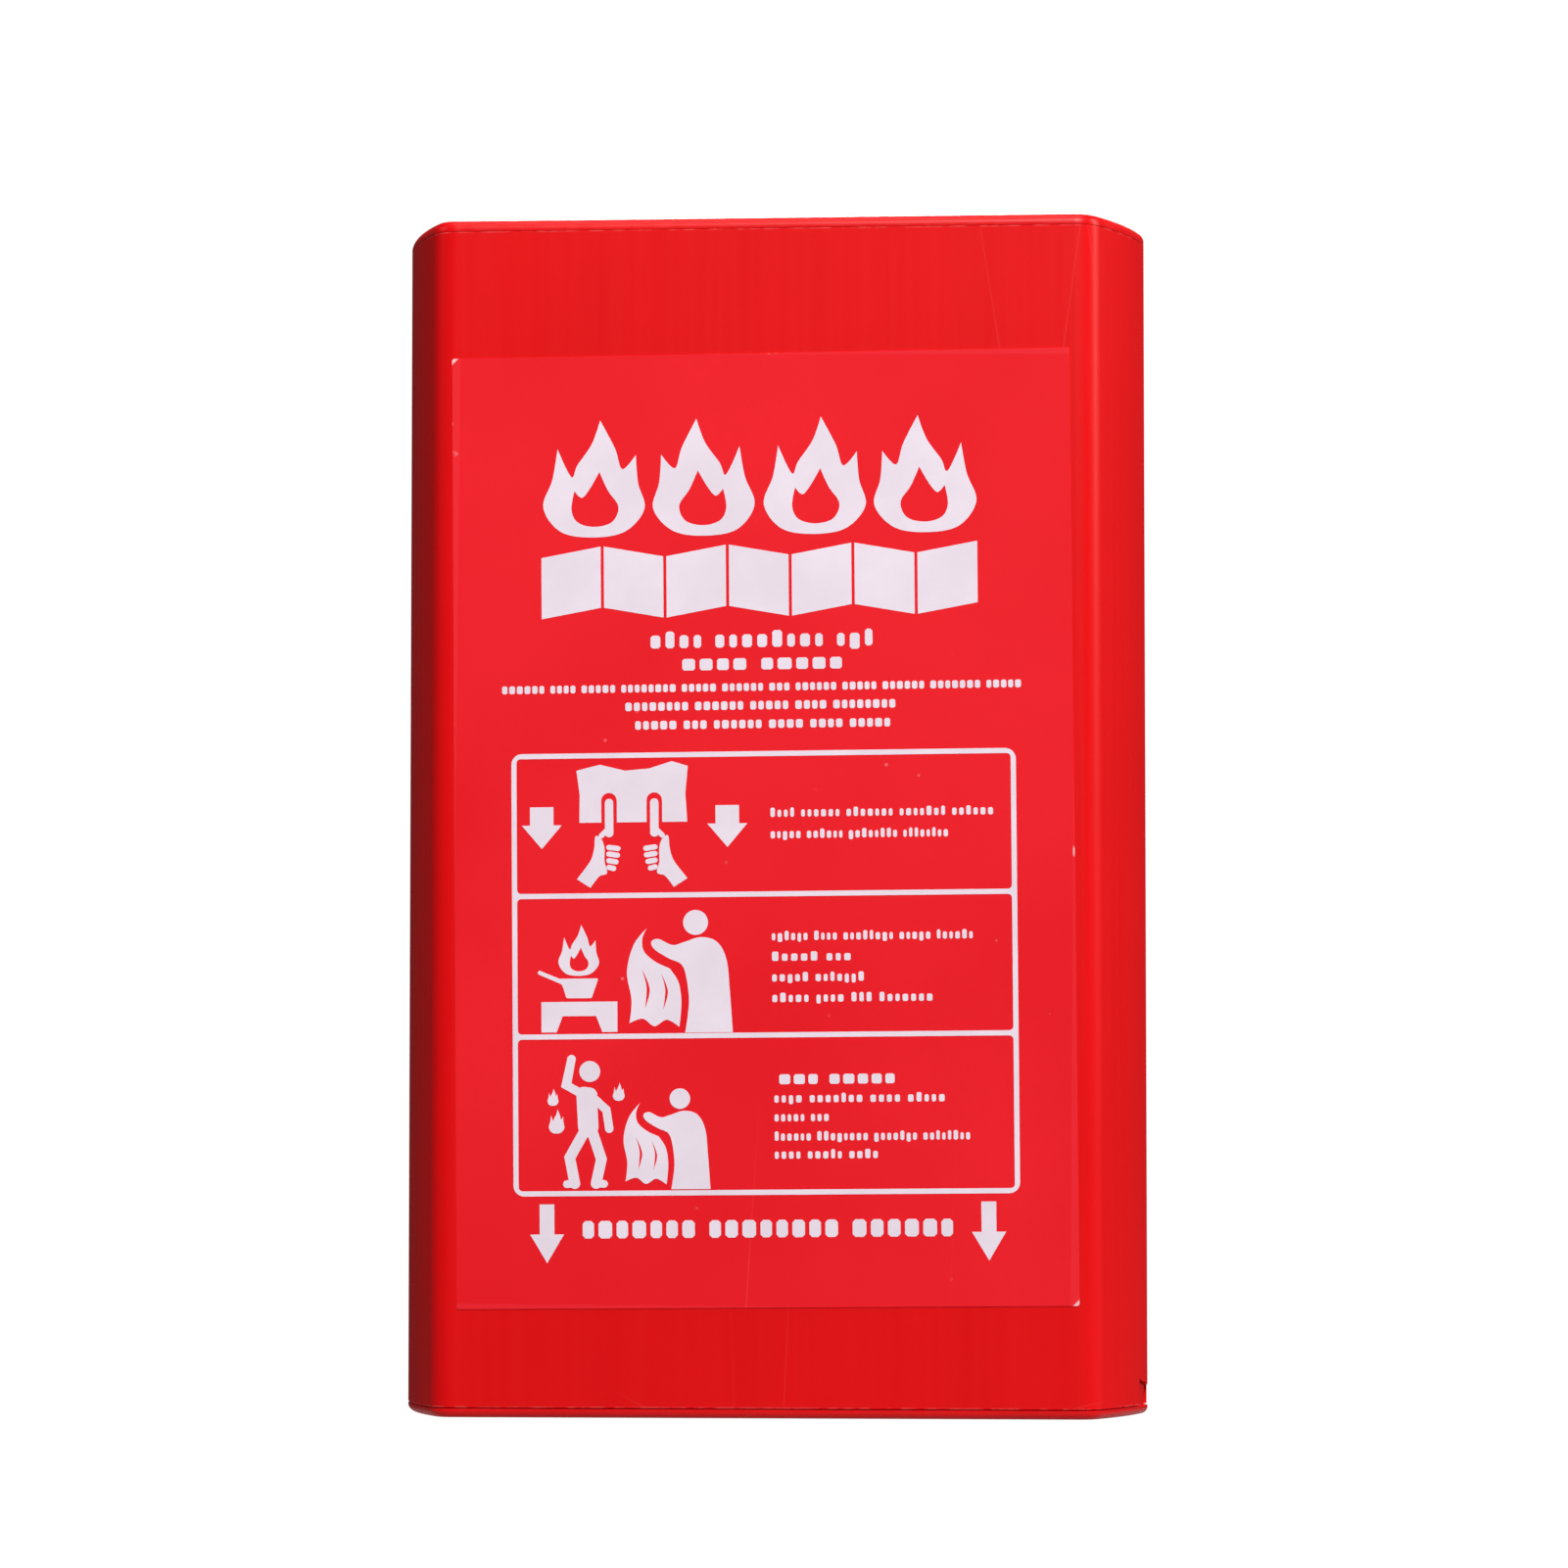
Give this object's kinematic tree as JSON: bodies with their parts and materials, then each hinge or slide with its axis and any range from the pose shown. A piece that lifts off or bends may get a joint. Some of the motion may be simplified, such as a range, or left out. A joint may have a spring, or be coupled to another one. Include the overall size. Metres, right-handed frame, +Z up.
{
  "type": "fire blanket",
  "caption": "Wall case holding a folded glass cloth blanket, with pull tapes stowed under a bottom cap that comes off as the blanket is drawn out.",
  "frame": {"origin": "middle of the footprint, on the surface that the case stands on", "axes": "+X to the right seen from the front, +Y towards the wall behind the case, +Z up"},
  "size_m": [0.169, 0.0372, 0.2694],
  "materials": {
    "case_plastic": "satin red PVC, extruded, fine vertical streaks",
    "cap_plastic": "satin red moulded plastic",
    "label_vinyl": "red self-adhesive vinyl",
    "label_ink": "white screen print",
    "glass_cloth": "woven glass fibre cloth, off-white",
    "webbing": "black woven tape",
    "thread": "off-white sewing thread"
  },
  "bodies": {
    "case": {"case_body": "case_plastic", "top_cap": "cap_plastic", "front_label": "label_vinyl"},
    "blanket": {"blanket": "glass_cloth", "left_tape_anchor": "webbing", "right_tape_anchor": "webbing", "left_anchor_stitching": "thread", "right_anchor_stitching": "thread"},
    "bottom_cap": {"bottom_cap": "cap_plastic"},
    "left_tail": {"left_tape_tail": "webbing"},
    "left_loop": {"left_tape_loop": "webbing", "left_loop_stitching": "thread"},
    "right_tail": {"right_tape_tail": "webbing"},
    "right_loop": {"right_tape_loop": "webbing", "right_loop_stitching": "thread"}
  },
  "joints": [
    {"name": "blanket_release", "type": "slide", "parent": "case", "child": "blanket", "axis": [0, 0, -1], "range_m": [0, 0.27]},
    {"name": "cap_release", "type": "slide", "parent": "case", "child": "bottom_cap", "axis": [0, 0, -1], "range_m": [0, 0.27]},
    {"name": "left_tape_drop", "type": "hinge", "parent": "bottom_cap", "child": "left_tail", "pos_m": [-0.05, -0.0127, 0.0065], "axis": [-1, 0, 0], "range_deg": [0, 90]},
    {"name": "left_tape_unfold", "type": "hinge", "parent": "left_tail", "child": "left_loop", "pos_m": [-0.05, 0.0111, 0.00445], "axis": [1, 0, 0], "range_deg": [0, 175.5]},
    {"name": "right_tape_drop", "type": "hinge", "parent": "bottom_cap", "child": "right_tail", "pos_m": [0.05, -0.0127, 0.0065], "axis": [-1, 0, 0], "range_deg": [0, 90]},
    {"name": "right_tape_unfold", "type": "hinge", "parent": "right_tail", "child": "right_loop", "pos_m": [0.05, 0.0111, 0.00445], "axis": [1, 0, 0], "range_deg": [0, 175.5]}
  ],
  "couplings": [
    {"joint": "cap_release", "follows": "blanket_release", "ratio": 1},
    {"joint": "left_tape_unfold", "follows": "left_tape_drop", "ratio": 1.95},
    {"joint": "right_tape_unfold", "follows": "right_tape_drop", "ratio": 1.95}
  ]
}
